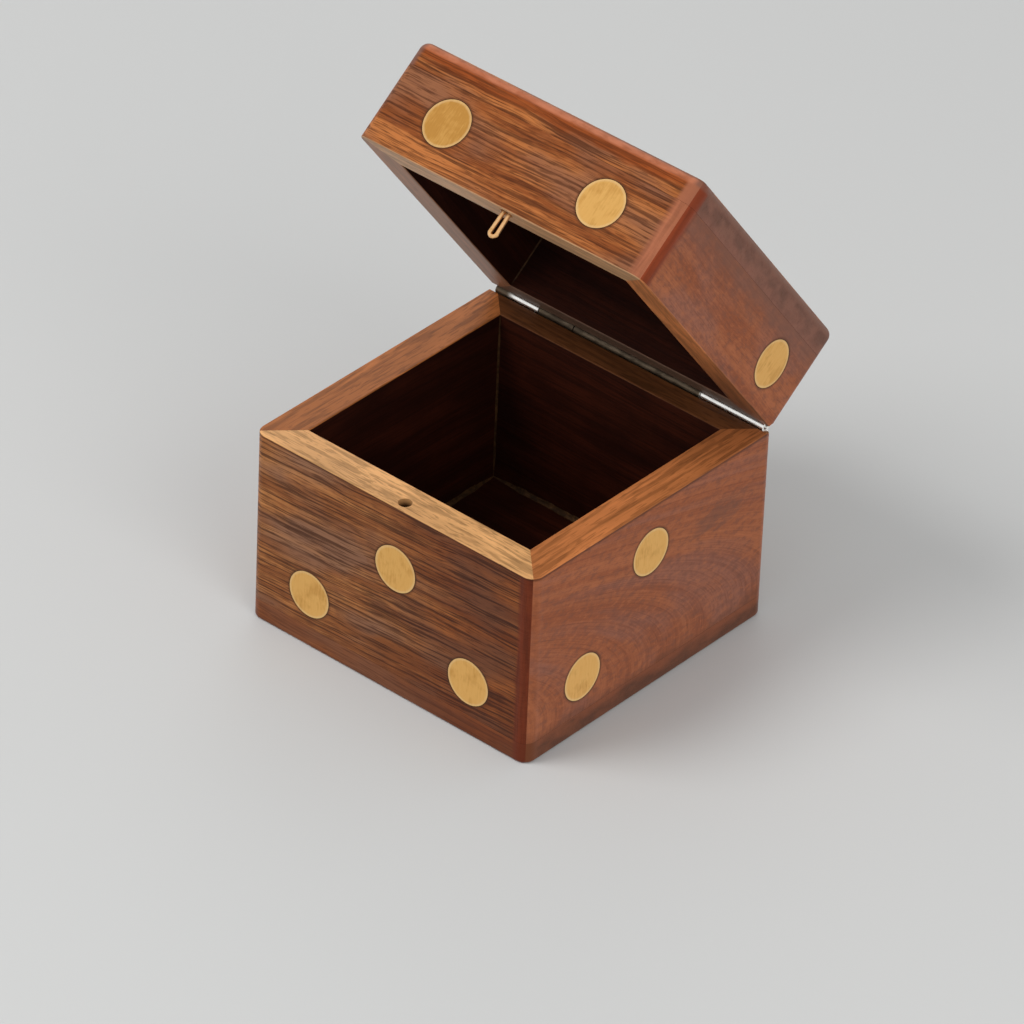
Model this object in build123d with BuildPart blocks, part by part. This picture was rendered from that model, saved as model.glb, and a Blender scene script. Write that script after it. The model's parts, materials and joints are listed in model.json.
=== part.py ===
"""Hinged wooden box in the form of a die: two mitred cases, a strip hinge, a hairpin catch and brass pips."""
from build123d import *
from math import acos, atan2, cos, degrees, hypot, radians, sin
import os

# Driving dimensions, in millimetres. X runs left to right, Y front to back, Z up from the base.
box_width = 76.0
box_depth = 75.0
body_height = 46.3            # base to rim
lid_height = 24.0             # rim to top
seam_gap = 0.3                # between the two rims when the lid is shut
wall_thickness = 8.0
bottom_thickness = 5.0
top_thickness = 6.1
corner_radius = 2.7           # upright corners of body and lid
top_edge_radius = 2.0         # round the lid's top
foot_edge_radius = 0.7        # round the base
rim_ease = 0.3                # soft arris on both rims
open_angle = 52.5             # how far the lid stands open at rest

pip_diameter = 10.8
pip_thickness = 1.6
pip_glue_line = 0.15          # between a pip's edge and its pocket
pip_side_inset = 16.2         # pip centre to the nearer upright side
pip_foot_inset = 13.1         # pip centre to the base
pip_top_inset = 13.8          # pip centre to the top
front_middle_drop = 15.2      # the body rim to the front's middle pip, which sits low
side_middle_drop = 11.5       # the body rim to the right side's middle pip

# Pips let in by hand stray a little from their rows, across and up
front_middle_stray = (1.3, 0.0)
front_lid_left_stray = (0.7, 0.1)
front_lid_right_stray = (-1.6, -0.15)
side_low_stray = (0.6, 0.8)
side_middle_stray = (-0.7, 0.0)
side_lid_stray = (0.8, -0.9)

hinge_end_inset = 1.5         # end of the hinge to the box's side
knuckle_radius = 1.1
knuckle_gap = 0.25            # between neighbouring knuckles
knuckle_lengths = (12.0, 9.6, 34.7)   # from the left end; a last knuckle takes up the rest
leaf_thickness = 0.5
leaf_reach = 4.4              # hinge axis to a leaf's far edge
leaf_notch_gap = 0.35         # between a leaf's edge and the other leaf's knuckle
leaf_pip_gap = 0.35           # between the lid leaf's far edge and the pip above it
cove_clearance = 0.3          # between the knuckles and the wood round them, from side to side
pin_radius = 0.55
pin_running_gap = 0.05
pin_end_inset = 0.4

nail_count = 4
nail_end_inset = 6.5          # first and last nail to the ends of the hinge
nail_radius = 0.5
nail_length = 5.5             # in the wood
nail_head_radius = 0.95
nail_head_height = 0.4
nail_head_round = 0.35

catch_shift = 1.2             # catch to the middle of the front, which it stands to the right of
catch_setback = 2.5           # catch to the front face
catch_hole_radius = 1.5
catch_socket_depth = 8.0      # in the lid
catch_tip_clearance = 2.1     # below the tip, in the body's hole
catch_seat_gap = 0.05         # wire ends to the floor of the socket
catch_wire_radius = 0.46
catch_loop_radius = 0.86      # centre line of the loop at the tip
catch_leg_spread = 0.55       # centre line of each leg to the middle, at the top
catch_drop = 6.0              # lid rim to the tip

# Sizes that follow from them
half_width = box_width / 2
half_depth = box_depth / 2
inner_width = box_width - 2 * wall_thickness
inner_depth = box_depth - 2 * wall_thickness
body_wall_height = body_height - bottom_thickness
lid_wall_height = lid_height - top_thickness
pip_column = half_width - pip_side_inset
pip_row = half_depth - pip_side_inset
low_pip = pip_foot_inset
high_pip = lid_height - pip_top_inset
pocket_radius = pip_diameter / 2 + pip_glue_line
back_high_pip = leaf_reach - seam_gap / 2 + leaf_pip_gap + pocket_radius
hinge_length = box_width - 2 * hinge_end_inset
hinge_y = half_depth - knuckle_radius
hinge_z = body_height + seam_gap / 2
leaf_notch = knuckle_radius + leaf_notch_gap
nail_pitch = (hinge_length - 2 * nail_end_inset) / (nail_count - 1)
nail_reach = (leaf_notch + leaf_reach) / 2
catch_y = catch_setback - half_depth

# The frames that everything is placed by. The body's frame is the part's own, with its origin in the
# middle of the base. The lid's frame has its origin in the middle of the lid's rim, and leans back
# with the lid about the hinge line.
body_frame = Plane.XY
body_hinge = Plane(origin=(0, hinge_y, hinge_z))
lid_hinge = body_hinge.rotated((-open_angle, 0, 0))
lid_origin = lid_hinge.from_local_coords(Vector(0, -hinge_y, seam_gap / 2))
lid_frame = Plane(lid_origin, x_dir=lid_hinge.x_dir, z_dir=lid_hinge.z_dir)

# Each side of a case: a point on its face, the way across it seen from outside, its outward way,
# and the signs of the two corners that it runs between
sides = {
    "front": ((0, -half_depth, 0), (1, 0, 0), (0, -1, 0), ((-1, -1), (1, -1))),
    "right": ((half_width, 0, 0), (0, 1, 0), (1, 0, 0), ((1, -1), (1, 1))),
    "back": ((0, half_depth, 0), (-1, 0, 0), (0, 1, 0), ((1, 1), (-1, 1))),
    "left": ((-half_width, 0, 0), (0, -1, 0), (-1, 0, 0), ((-1, 1), (-1, -1))),
}


def strayed(across, up, stray=(0.0, 0.0)):
    """A pip's centre on its side, across it and up, seen from outside."""
    return across + stray[0], up + stray[1]


body_pips = {
    "front": [
        strayed(-pip_column, low_pip),
        strayed(0, body_height - front_middle_drop, front_middle_stray),
        strayed(pip_column, low_pip),
    ],
    "right": [
        strayed(-pip_row, low_pip, side_low_stray),
        strayed(0, body_height - side_middle_drop, side_middle_stray),
    ],
    "back": [strayed(pip_column, low_pip)],
    "left": [strayed(-pip_row, low_pip), strayed(pip_row, low_pip)],
}
lid_pips = {
    "front": [
        strayed(-pip_column, high_pip, front_lid_left_stray),
        strayed(pip_column, high_pip, front_lid_right_stray),
    ],
    "right": [strayed(pip_row, high_pip, side_lid_stray)],
    "back": [strayed(-pip_column, back_high_pip)],
    "left": [strayed(-pip_row, high_pip), strayed(pip_row, high_pip)],
}
top_pips = [(x, y) for x in (-pip_column, pip_column) for y in (-pip_row, 0, pip_row)]


def placed(frame, point, across, outward):
    """A plane given in a frame's own directions."""
    x_dir = frame.from_local_coords(Vector(across)) - frame.origin
    z_dir = frame.from_local_coords(Vector(outward)) - frame.origin
    return Plane(frame.from_local_coords(Vector(point)), x_dir=x_dir, z_dir=z_dir)


def side_plane(frame, side):
    """The outer face of one side of a case, with its origin level with the frame's."""
    point, across, outward, _ = sides[side]
    return placed(frame, point, across, outward)


def cross_plane(frame, x=0.0):
    """A plane square to the hinge line: its X is the frame's Y, and its Y is the frame's Z."""
    return placed(frame, (x, 0, 0), (0, 1, 0), (1, 0, 0))


def leaf_plane(hinge, way):
    """The outer face of a hinge leaf, on the line of its nails. way is 1 for the lid's, -1 for the body's."""
    return placed(hinge, (0, knuckle_radius, way * nail_reach), (-1, 0, 0), (0, 1, 0))


def mitred_wall(frame, side, foot, height, pip_spots, hinge, way):
    """One board of a case, standing on the frame's height `foot`, with its pip pockets and hinge recess.

    way is 1 for the lid, where the rim is the board's foot, and -1 for the body, where it is its top.
    """
    _, _, _, corners = sides[side]
    outer = [(sx * half_width, sy * half_depth) for sx, sy in corners]
    inner = [(sx * inner_width / 2, sy * inner_depth / 2) for sx, sy in reversed(corners)]
    face = side_plane(frame, side)
    rim_height = foot if way > 0 else foot + height
    with BuildPart() as board:
        with BuildSketch(frame.offset(foot)):
            RectangleRounded(box_width, box_depth, corner_radius)
            with BuildLine():
                Polyline(*outer, *inner, close=True)
            make_face(mode=Mode.INTERSECT)
        extrude(amount=height)
        rim = board.faces().sort_by(Axis(frame.origin, frame.z_dir))[0 if way > 0 else -1]
        long_edges = rim.edges().filter_by(Axis(face.origin, face.x_dir))
        fillet(long_edges + rim.edges().filter_by(GeomType.CIRCLE), rim_ease)
        with BuildSketch(face):
            with Locations(*pip_spots):
                Circle(pocket_radius)
        extrude(amount=-pip_thickness, mode=Mode.SUBTRACT)
        if side != "front":
            with BuildSketch(cross_plane(hinge)):
                Circle(knuckle_radius + cove_clearance)
            extrude(amount=half_width, both=True, mode=Mode.SUBTRACT)
            with BuildSketch(cross_plane(hinge)):
                with Locations((knuckle_radius, way * leaf_reach / 2)):
                    Rectangle(2 * leaf_thickness, leaf_reach)
            extrude(amount=hinge_length / 2, both=True, mode=Mode.SUBTRACT)
        if side == "back":
            with BuildSketch(leaf_plane(hinge, way)):
                with GridLocations(nail_pitch, 1, nail_count, 1):
                    Circle(nail_radius)
            extrude(amount=-leaf_thickness - nail_length, mode=Mode.SUBTRACT)
        if side == "front":
            hole_depth = catch_socket_depth if way > 0 else catch_drop + catch_tip_clearance
            with BuildSketch(placed(frame, (catch_shift, catch_y, rim_height), (1, 0, 0), (0, 0, way))):
                Circle(catch_hole_radius)
            extrude(amount=hole_depth, mode=Mode.SUBTRACT)
    return board


def pip_discs(plane, spots):
    """Brass discs let in flush with a face."""
    with BuildPart() as discs:
        with BuildSketch(plane):
            with Locations(*spots):
                Circle(pip_diameter / 2)
        extrude(amount=-pip_thickness)
    return discs


def hinge_leaf(hinge, way, spans, bore_radius):
    """One leaf: a strip let into the back board, rolled into the knuckles that span along X."""
    with BuildPart() as leaf:
        strip_middle = (0, knuckle_radius, way * (leaf_notch + leaf_reach) / 2)
        with BuildSketch(placed(hinge, strip_middle, (-1, 0, 0), (0, 1, 0))):
            Rectangle(hinge_length, leaf_reach - leaf_notch)
        extrude(amount=-leaf_thickness)
        for start, end in spans:
            with BuildSketch(cross_plane(hinge, start)):
                Circle(knuckle_radius)
                with Locations((knuckle_radius - leaf_thickness / 2, way * leaf_reach / 2)):
                    Rectangle(leaf_thickness, leaf_reach)
                Circle(bore_radius, mode=Mode.SUBTRACT)
            extrude(amount=end - start)
        with BuildSketch(leaf_plane(hinge, way)):
            with GridLocations(nail_pitch, 1, nail_count, 1):
                Circle(nail_radius)
        extrude(amount=-leaf_thickness, mode=Mode.SUBTRACT)
    return leaf


def hinge_nails(hinge, way):
    """Round-headed nails through a leaf into the back board."""
    plane = leaf_plane(hinge, way)
    with BuildPart() as nails:
        with BuildSketch(plane):
            with GridLocations(nail_pitch, 1, nail_count, 1):
                Circle(nail_radius)
        extrude(amount=-leaf_thickness - nail_length)
        with BuildSketch(plane):
            with GridLocations(nail_pitch, 1, nail_count, 1):
                Circle(nail_head_radius)
        extrude(amount=nail_head_height)
        head_rims = nails.edges().group_by(Axis(plane.origin, plane.z_dir))[-1]
        fillet(head_rims, nail_head_round)
    return nails


def export(piece, name):
    """Label a piece and write it."""
    piece.part.label = name
    export_step(piece.part, f"parts/{name}.step")


os.makedirs("parts", exist_ok=True)

# Body: four mitred boards on a planted bottom
for side in sides:
    export(mitred_wall(body_frame, side, bottom_thickness, body_wall_height, body_pips[side], body_hinge, -1),
           f"body_{side}_wall")
    export(pip_discs(side_plane(body_frame, side), body_pips[side]), f"body_{side}_pips")

with BuildPart() as bottom_panel:
    with BuildSketch(body_frame):
        RectangleRounded(box_width, box_depth, corner_radius)
    extrude(amount=bottom_thickness)
    fillet(bottom_panel.edges().group_by(Axis.Z)[0], foot_edge_radius)
export(bottom_panel, "bottom_panel")

# Lid: the same boards, lower, under a planted top
for side in sides:
    export(mitred_wall(lid_frame, side, 0, lid_wall_height, lid_pips[side], lid_hinge, 1),
           f"lid_{side}_wall")
    export(pip_discs(side_plane(lid_frame, side), lid_pips[side]), f"lid_{side}_pips")

with BuildPart() as lid_top_panel:
    with BuildSketch(lid_frame.offset(lid_wall_height)):
        RectangleRounded(box_width, box_depth, corner_radius)
    extrude(amount=top_thickness)
    fillet(lid_top_panel.edges().group_by(Axis(lid_frame.origin, lid_frame.z_dir))[-1], top_edge_radius)
    with BuildSketch(lid_frame.offset(lid_height)):
        with Locations(*top_pips):
            Circle(pocket_radius)
    extrude(amount=-pip_thickness, mode=Mode.SUBTRACT)
export(lid_top_panel, "lid_top_panel")
export(pip_discs(lid_frame.offset(lid_height), top_pips), "lid_top_pips")

# Hinge: four knuckles, taken in turn by the body's leaf and the lid's
spans = []
left = -hinge_length / 2
for length in knuckle_lengths:
    spans.append((left, left + length - knuckle_gap))
    left += length
spans.append((left, hinge_length / 2))
export(hinge_leaf(body_hinge, -1, spans[0::2], pin_radius), "hinge_body_leaf")
export(hinge_leaf(lid_hinge, 1, spans[1::2], pin_radius + pin_running_gap), "hinge_lid_leaf")
export(hinge_nails(body_hinge, -1), "hinge_body_nails")
export(hinge_nails(lid_hinge, 1), "hinge_lid_nails")

with BuildPart() as hinge_pin:
    with BuildSketch(cross_plane(body_hinge)):
        Circle(pin_radius)
    extrude(amount=hinge_length / 2 - pin_end_inset, both=True)
export(hinge_pin, "hinge_pin")

# Catch: a brass wire hairpin, its legs up in the lid's front rim and tangent to the loop at its tip
loop_z = catch_loop_radius + catch_wire_radius - catch_drop
leg_x = catch_leg_spread
leg_z = catch_socket_depth - catch_seat_gap
leg_rise = leg_z - loop_z
bearing = degrees(atan2(leg_rise, leg_x) - acos(catch_loop_radius / hypot(leg_x, leg_rise)))
touch_x = catch_loop_radius * cos(radians(bearing))
touch_z = loop_z + catch_loop_radius * sin(radians(bearing))
with BuildPart() as catch_spring:
    with BuildLine(placed(lid_frame, (catch_shift, catch_y, 0), (1, 0, 0), (0, -1, 0))) as hairpin:
        Line((-leg_x, leg_z), (-touch_x, touch_z))
        ThreePointArc((-touch_x, touch_z), (0, loop_z - catch_loop_radius), (touch_x, touch_z))
        Line((touch_x, touch_z), (leg_x, leg_z))
    path = hairpin.wires()[0]
    with BuildSketch(Plane(origin=path @ 0, z_dir=path % 0)):
        Circle(catch_wire_radius)
    sweep(path=path)
export(catch_spring, "catch_spring")
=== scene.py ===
import json
from collections import namedtuple
from math import cos, pi, radians, sin

import bmesh
import bpy
from mathutils import Matrix, Vector, noise


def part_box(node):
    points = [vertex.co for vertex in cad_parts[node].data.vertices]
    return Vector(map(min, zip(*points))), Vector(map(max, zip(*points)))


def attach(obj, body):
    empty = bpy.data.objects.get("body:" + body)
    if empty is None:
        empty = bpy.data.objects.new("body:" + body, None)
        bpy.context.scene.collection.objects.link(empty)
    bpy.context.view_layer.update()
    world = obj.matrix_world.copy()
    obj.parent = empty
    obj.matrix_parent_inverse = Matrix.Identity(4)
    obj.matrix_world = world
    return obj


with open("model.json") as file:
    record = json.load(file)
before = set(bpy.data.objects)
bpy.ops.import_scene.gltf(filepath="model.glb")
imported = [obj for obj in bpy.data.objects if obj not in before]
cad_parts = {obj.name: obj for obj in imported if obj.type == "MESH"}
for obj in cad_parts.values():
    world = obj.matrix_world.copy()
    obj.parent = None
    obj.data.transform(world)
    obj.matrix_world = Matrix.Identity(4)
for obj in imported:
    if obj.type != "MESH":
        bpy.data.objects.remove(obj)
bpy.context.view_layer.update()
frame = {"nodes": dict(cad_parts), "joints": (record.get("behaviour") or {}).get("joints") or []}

bl_info = {
    "name": "Die Box Finish",
    "version": (1, 0, 0),
    "blender": (4, 5, 0),
    "location": "3D View > Sidebar > Die Box",
    "description": "Dresses a hinged wooden box in oiled wood, inlaid brass and a plated strip hinge",
    "category": "Object",
}

# ---------------------------------------------------------------- the box, read from the frame

MM = 0.001
SEAM_REACH = 1e-6             # metres within which two points of a mesh count as one
joint = frame["joints"][0]
hinge_point = Vector(joint["pos_m"])
open_angle = radians(-joint["range_deg"][0])
_, foot_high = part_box("bottom_panel")
half_width = foot_high.x / MM
half_depth = foot_high.y / MM
bottom_thickness = foot_high.z / MM
body_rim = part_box("body_front_wall")[1].z / MM
wall_thickness = (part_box("body_front_wall")[1].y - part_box("body_front_wall")[0].y) / MM
lid_rim = 2 * hinge_point.z / MM - body_rim          # of the shut lid
CORNER_RADIUS = 2.7
TOP_THICKNESS = 6.1
TOP_EDGE_RADIUS = 2.0
CORNER_BAND = 3.5             # of changed colour on each side of the front right corner
CATCH_HOLE_RADIUS = 1.5
POCKET_GAP = 0.15             # between a pip and the wood round it


def shut(point):
    """A point of the lid, taken to where it is when the lid is shut."""
    return Matrix.Rotation(open_angle, 3, "X") @ (Vector(point) - hinge_point) + hinge_point


def opened(point):
    """A point of the shut lid, taken to where it is at rest."""
    return Matrix.Rotation(-open_angle, 3, "X") @ (Vector(point) - hinge_point) + hinge_point


def solid_middles(node, lid):
    """The middle of each separate solid of a node, in millimetres of the shut box."""
    bm = bmesh.new()
    bm.from_mesh(frame["nodes"][node].data)
    bmesh.ops.remove_doubles(bm, verts=bm.verts, dist=SEAM_REACH)
    left, middles = set(bm.verts), []
    while left:
        solid, waiting = set(), [left.pop()]
        while waiting:
            vert = waiting.pop()
            solid.add(vert)
            fresh = {e.other_vert(vert) for e in vert.link_edges} & left
            left -= fresh
            waiting.extend(fresh)
        places = [(shut(v.co) if lid else v.co) / MM for v in solid]
        middles.append(Vector([(min(axis) + max(axis)) / 2 for axis in zip(*places)]))
    bm.free()
    return sorted(middles, key=lambda m: tuple(round(c, 1) for c in m))


lid_top = max(shut(v.co).z for v in frame["nodes"]["lid_top_panel"].data.vertices) / MM
ceiling = lid_top - TOP_THICKNESS
catch_middle = solid_middles("catch_spring", True)[0]
pip_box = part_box("body_left_pips")
pip_radius = (pip_box[1].z - pip_box[0].z) / MM / 2

SIDES = ("front", "right", "back", "left")
STREAKED = ("front", "back")  # the sides whose boards are the more streaked ones
MIRRORED = ("back", "left")   # the sides that run against X or Y, seen from outside
# Each face of the box: the way along it seen from outside, up it and out of it, and how far out it lies
FACES = {
    "front": (Vector((1, 0, 0)), Vector((0, 0, 1)), Vector((0, -1, 0)), half_depth),
    "right": (Vector((0, 1, 0)), Vector((0, 0, 1)), Vector((1, 0, 0)), half_width),
    "back": (Vector((-1, 0, 0)), Vector((0, 0, 1)), Vector((0, 1, 0)), half_depth),
    "left": (Vector((0, -1, 0)), Vector((0, 0, 1)), Vector((-1, 0, 0)), half_width),
    "top": (Vector((1, 0, 0)), Vector((0, 1, 0)), Vector((0, 0, 1)), lid_top),
}
PIP_NODES = [n for n in frame["nodes"] if n.endswith("_pips")]

# Millimetres between the pieces of wood, so that no two show the same grain
SIDE_SEED = 211.0
LID_SEED = 97.0
TOP_SEED = 1300.0
BOTTOM_SEED = 1700.0

# How each board's figure runs: the strength of its lines, bands and pores, how far it wavers, and its slope
FIGURE = {
    "front": (0.80, 1.1, 0.55, 2.4, -0.045),
    "back": (0.75, 1.1, 0.55, 2.4, 0.02),
    "right": (0.22, 0.8, 0.24, 3.0, 0.0),
    "left": (0.25, 0.8, 0.26, 3.0, 0.03),
}
BODY_TINT = (1.04, 1.22, 1.38)     # the body's streaked boards are greyer than the lid's
LID_TINT = (1.02, 1.0, 1.0)
LID_LINES = 0.85              # the lid's lines against the body's, on the streaked boards
LID_BANDS = 1.3               # and its bands, on the plainer ones

# The arches of the plainer boards of the body: the way they open along the board, and the height of their tip
ARCHES = {"right": (1.0, 8.0), "left": (-1.0, 30.0)}
ARCH_SPREAD = 18.0
ARCH_SPACING = 0.55
ARCH_WAVER = 2.2

GREY_PATCH = (20.5, 33.5)     # on the body's right board: its middle, along and up
GREY_PATCH_SIZE = (7.5, 3.2)
LID_CORNER_UNSHADED = 1.7         # the red of the front right corner, on the lid against the body, where it is darker as painted shadow
CORNER_STRENGTH = 0.92
CORNER_SOFTNESS = 0.6
RIM_EDGE = (0.26, 0.12)       # from the face of a rim to where its colour starts, and to where it is full
STAIN_REACH = (0.05, 0.65)    # beyond a pip's pocket, where the stain of the glue starts to fade and ends

# X over which the plating of the hinge turns bright at its left, dull again, and bright at its right
LEFT_BRIGHT = (-33.6, -31.0)
LEFT_BRIGHT_END = (-24.6, -25.0)
RIGHT_BRIGHT = (19.2, 19.8)

# How deep the marks in each surface are, in metres
PORE_DEPTH = 0.0001
LUMP_DEPTH = 0.0001
SCRATCH_DEPTH = 0.00004
DRAWN_DEPTH = 0.00003
PLATING_DEPTH = 0.00003

RING_STEPS = 120              # round the glue of a pip
RING_CLEARANCE = 0.004        # between that glue and the brass or the wood
RING_DEPTH = 0.35
BEAD_STEP = 0.5               # between the outlines of a bead of glue
BEAD_CLEARANCE = 0.01         # between a bead and the wood behind it
BEAD_END = 0.6                # left free between a bead and the rim
BEAD_BOW = 1.7                # how hollow the face of a bead is
BEAD_SHARES = (0.0, 0.2, 0.4, 0.6, 0.8, 1.0)
# How wide the beads are, up the corners and round the floor or the ceiling, and how uneven
BEAD_SIZES = {"body": (0.34, 0.85), "lid": (0.25, 0.3)}
BEAD_LUMPS = (0.3, 0.35)

FLOOR_REACH = 6.0             # metres
LAMP_TARGET = Vector((0, 0, 0.045))
LAMPS = {                     # their places and sizes in metres, and whether polished surfaces show them
    "key": ((-0.60, -0.78, 1.15), 0.8, False),
    "fill": ((0.95, -0.35, 0.65), 0.8, False),
    "edge": ((-0.75, 1.10, 0.75), 0.9, True),
}
CAMERA_AZIMUTH = 39.884       # degrees, as are the next two
CAMERA_ELEVATION = 35.272
CAMERA_ROLL = 2.489
CAMERA_TARGET = Vector((0.000184, 0.0, 0.025714))
CAMERA_DISTANCE = 1.9009
SENSOR_WIDTH = 36.0


def pip_spots(node):
    """The place of each pip of a node, along its face seen from outside and up it."""
    body, side, _ = node.split("_")
    along, up, _, _ = FACES[side]
    return [(m.dot(along), m.dot(up)) for m in solid_middles(node, body == "lid")]


# ---------------------------------------------------------------- settings

def colour(name, description, value):
    return bpy.props.FloatVectorProperty(
        name=name, description=description, subtype="COLOR", size=3, min=0.0, max=1.0, default=value)


def factor(name, description, value):
    return bpy.props.FloatProperty(
        name=name, description=description, subtype="FACTOR", min=0.0, max=1.0, default=value)


class DieBoxWoodSettings(bpy.types.PropertyGroup):
    grain_dark: colour("Dark grain", "The dark lines of the streaked boards", (0.050, 0.012, 0.003))
    grain_mid: colour("Middle grain", "The body colour of the streaked boards", (0.235, 0.064, 0.015))
    grain_light: colour("Light grain", "The pale bands of the streaked boards", (0.470, 0.162, 0.044))
    grain_cool: colour("Cool grain", "The greyer patches of the streaked boards", (0.225, 0.095, 0.050))
    figure_dark: colour("Dark figure", "The dark lines of the plainer side boards", (0.125, 0.028, 0.010))
    figure_mid: colour("Middle figure", "The body colour of the plainer side boards", (0.290, 0.079, 0.028))
    figure_light: colour("Light figure", "The pale bands of the plainer side boards", (0.390, 0.120, 0.046))
    figure_cool: colour("Cool figure", "The greyer patches of the plainer side boards", (0.275, 0.104, 0.066))
    band: colour("Top edge", "The long edge of the top board", (0.250, 0.055, 0.010))
    end_grain: colour("End grain", "The sawn ends of the top board", (0.178, 0.076, 0.050))
    foot: colour("Foot", "The darkened foot of the body", (0.125, 0.037, 0.014))
    # painted shadow: darkens and reddens the right end of the front board as a cast shadow, over wood that is
    # redder there
    redder_wood_and_shadow: colour("Redder wood and shadow", "What darkens the right end of the front board", (0.50, 0.31, 0.20))
    # painted shadow: the red end grain of the front right corner, darkened for a shadow on the body; the lid
    # shows it brighter
    shaded_corner_red: colour("Red corner", "The red half of the front right corner", (0.125, 0.021, 0.006))
    # painted highlight on the rounded front right corner, also used for the highlight round the lid's top
    # edge
    corner_highlight: colour("Corner highlight", "The paler half of the front right corner", (0.330, 0.112, 0.056))
    front_rim: colour("Front rim", "The sawn rim of the front boards", (0.66, 0.345, 0.137))
    left_rim: colour("Left rim", "The sawn rim of the left boards", (0.37, 0.122, 0.034))
    right_rim: colour("Right rim", "The sawn rim of the right boards", (0.52, 0.178, 0.056))
    # painted shade: the back rim is darkened for the shadow of the open lid above it
    back_rim: colour("Back rim", "The sawn rim of the back boards", (0.105, 0.036, 0.012))
    # painted shadow of the open lid on the right rim
    right_rim_lid_shadow: colour("Rim shade", "What darkens the right rim towards the hinge", (0.25, 0.20, 0.18))
    rim_grey: colour("Grey rim", "What dulls the rim of the lid", (0.30, 0.20, 0.145))
    # dark stain and painted shade: the inside is darkened for the shade within the box and the lid
    inside: colour("Inside", "The dark stained wood of the inside", (0.022, 0.0042, 0.0016))
    roughness: factor("Roughness", "How dull the oiled wood is", 0.44)


class DieBoxMetalSettings(bpy.types.PropertyGroup):
    brass: colour("Brass", "The pips", (0.82, 0.465, 0.140))
    brass_dull: colour("Dull brass", "The tarnished patches of the pips", (0.60, 0.300, 0.070))
    # painted highlight: the bright ring round the edge of each pip
    brass_edge_highlight: colour("Brass edge", "The bright worn edge of the pips", (0.90, 0.620, 0.300))
    wire: colour("Wire", "The catch", (0.84, 0.500, 0.240))
    plate: colour("Plating", "The bright plating of the strip hinge", (0.90, 0.89, 0.86))
    # painted shade: the dark middle knuckles, in the shadow of the open lid
    plate_shaded: colour("Shaded plating", "The stained and dull knuckles of the hinge", (0.12, 0.090, 0.062))
    glue: colour("Glue", "The dark line round each pip", (0.070, 0.024, 0.009))
    bead: colour("Dried glue", "The beads in the inside corners", (0.085, 0.038, 0.013))


class DieBoxStageSettings(bpy.types.PropertyGroup):
    floor: colour("Floor", "The plain pale floor", (0.60, 0.60, 0.59))
    sky: bpy.props.FloatProperty(
        name="Sky", description="Strength of the light from all round", min=0.0, default=0.55)
    sheen: bpy.props.FloatProperty(
        name="Sheen", description="Strength of the studio as polished surfaces see it", min=0.0, default=0.92)
    key: bpy.props.FloatProperty(
        name="Key", description="Power of the large lamp", unit="POWER", min=0.0, default=11.0)
    fill: bpy.props.FloatProperty(
        name="Fill", description="Power of the lamp on the right", unit="POWER", min=0.0, default=4.0)
    edge: bpy.props.FloatProperty(
        name="Edge", description="Power of the lamp behind, which lights the rounded edges",
        unit="POWER", min=0.0, default=2.0)
    focal_length: bpy.props.FloatProperty(
        name="Focal length", description="Of the camera's lens", unit="CAMERA", min=1.0, default=324.5)


def wood_settings():
    return bpy.context.scene.die_box_wood


def metal_settings():
    return bpy.context.scene.die_box_metal


def stage_settings():
    return bpy.context.scene.die_box_stage


# ---------------------------------------------------------------- material building

class Tree:
    """Adds nodes to a tree: an input given as a socket is linked, and any other value is set."""

    def __init__(self, tree):
        self.tree = tree

    def add(self, kind, inputs=(), **settings):
        node = self.tree.nodes.new("ShaderNode" + kind)
        for key, value in settings.items():
            setattr(node, key, value)
        pairs = inputs.items() if isinstance(inputs, dict) else enumerate(inputs)
        for key, value in pairs:
            if isinstance(value, bpy.types.NodeSocket):
                self.tree.links.new(value, node.inputs[key])
            else:
                node.inputs[key].default_value = value
        return node

    def math(self, operation, *values, clamp=False):
        return self.add("Math", values, operation=operation, use_clamp=clamp).outputs[0]

    def plus(self, *values):
        total = values[0]
        for value in values[1:]:
            total = self.math("ADD", total, value)
        return total

    def times(self, a, b):
        return self.math("MULTIPLY", a, b)

    def less(self, a, b):
        return self.math("SUBTRACT", a, b)

    def combine(self, x, y, z):
        return self.add("CombineXYZ", (x, y, z)).outputs[0]

    def separate(self, vector):
        return self.add("SeparateXYZ", (vector,)).outputs

    def around(self, value, amount):
        """Noise with its middle moved to 0, times an amount."""
        return self.times(self.less(value, 0.5), amount)

    def noise(self, x, y, z, scales, detail=2.0, roughness=0.5, distortion=0.0):
        """Noise at a place, with its own scale along each axis."""
        vector = self.combine(*(self.times(c, s) for c, s in zip((x, y, z), scales)))
        return self.add("TexNoise", {
            "Vector": vector, "Scale": 1.0, "Detail": detail, "Roughness": roughness,
            "Distortion": distortion}).outputs["Fac"]

    def ramp(self, value, low, high, to_low=0.0, to_high=1.0):
        """value from low to high, smoothly, as to_low to to_high."""
        if low > high:
            low, high, to_low, to_high = high, low, to_high, to_low
        return self.add("MapRange", {
            "Value": value, "From Min": low, "From Max": high, "To Min": to_low, "To Max": to_high},
            interpolation_type="SMOOTHSTEP").outputs[0]

    def mix(self, amount, a, b, blend="MIX"):
        """Two colours mixed. A Mix node has its colours at inputs 6 and 7 and at output 2."""
        return self.add("Mix", {0: amount, 6: a, 7: b}, data_type="RGBA", blend_type=blend).outputs[2]

    def nearest(self, along, up, spots):
        """How far a place on a face is from the nearest of some spots."""
        reach = None
        for a, b in spots:
            far = self.add("VectorMath", {0: self.combine(self.less(along, a), self.less(up, b), 0.0)},
                           operation="LENGTH").outputs["Value"]
            reach = far if reach is None else self.math("MINIMUM", reach, far)
        return reach


def rgba(value, strength=1.0):
    return (*(min(1.0, c * strength) for c in value), 1.0)


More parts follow.
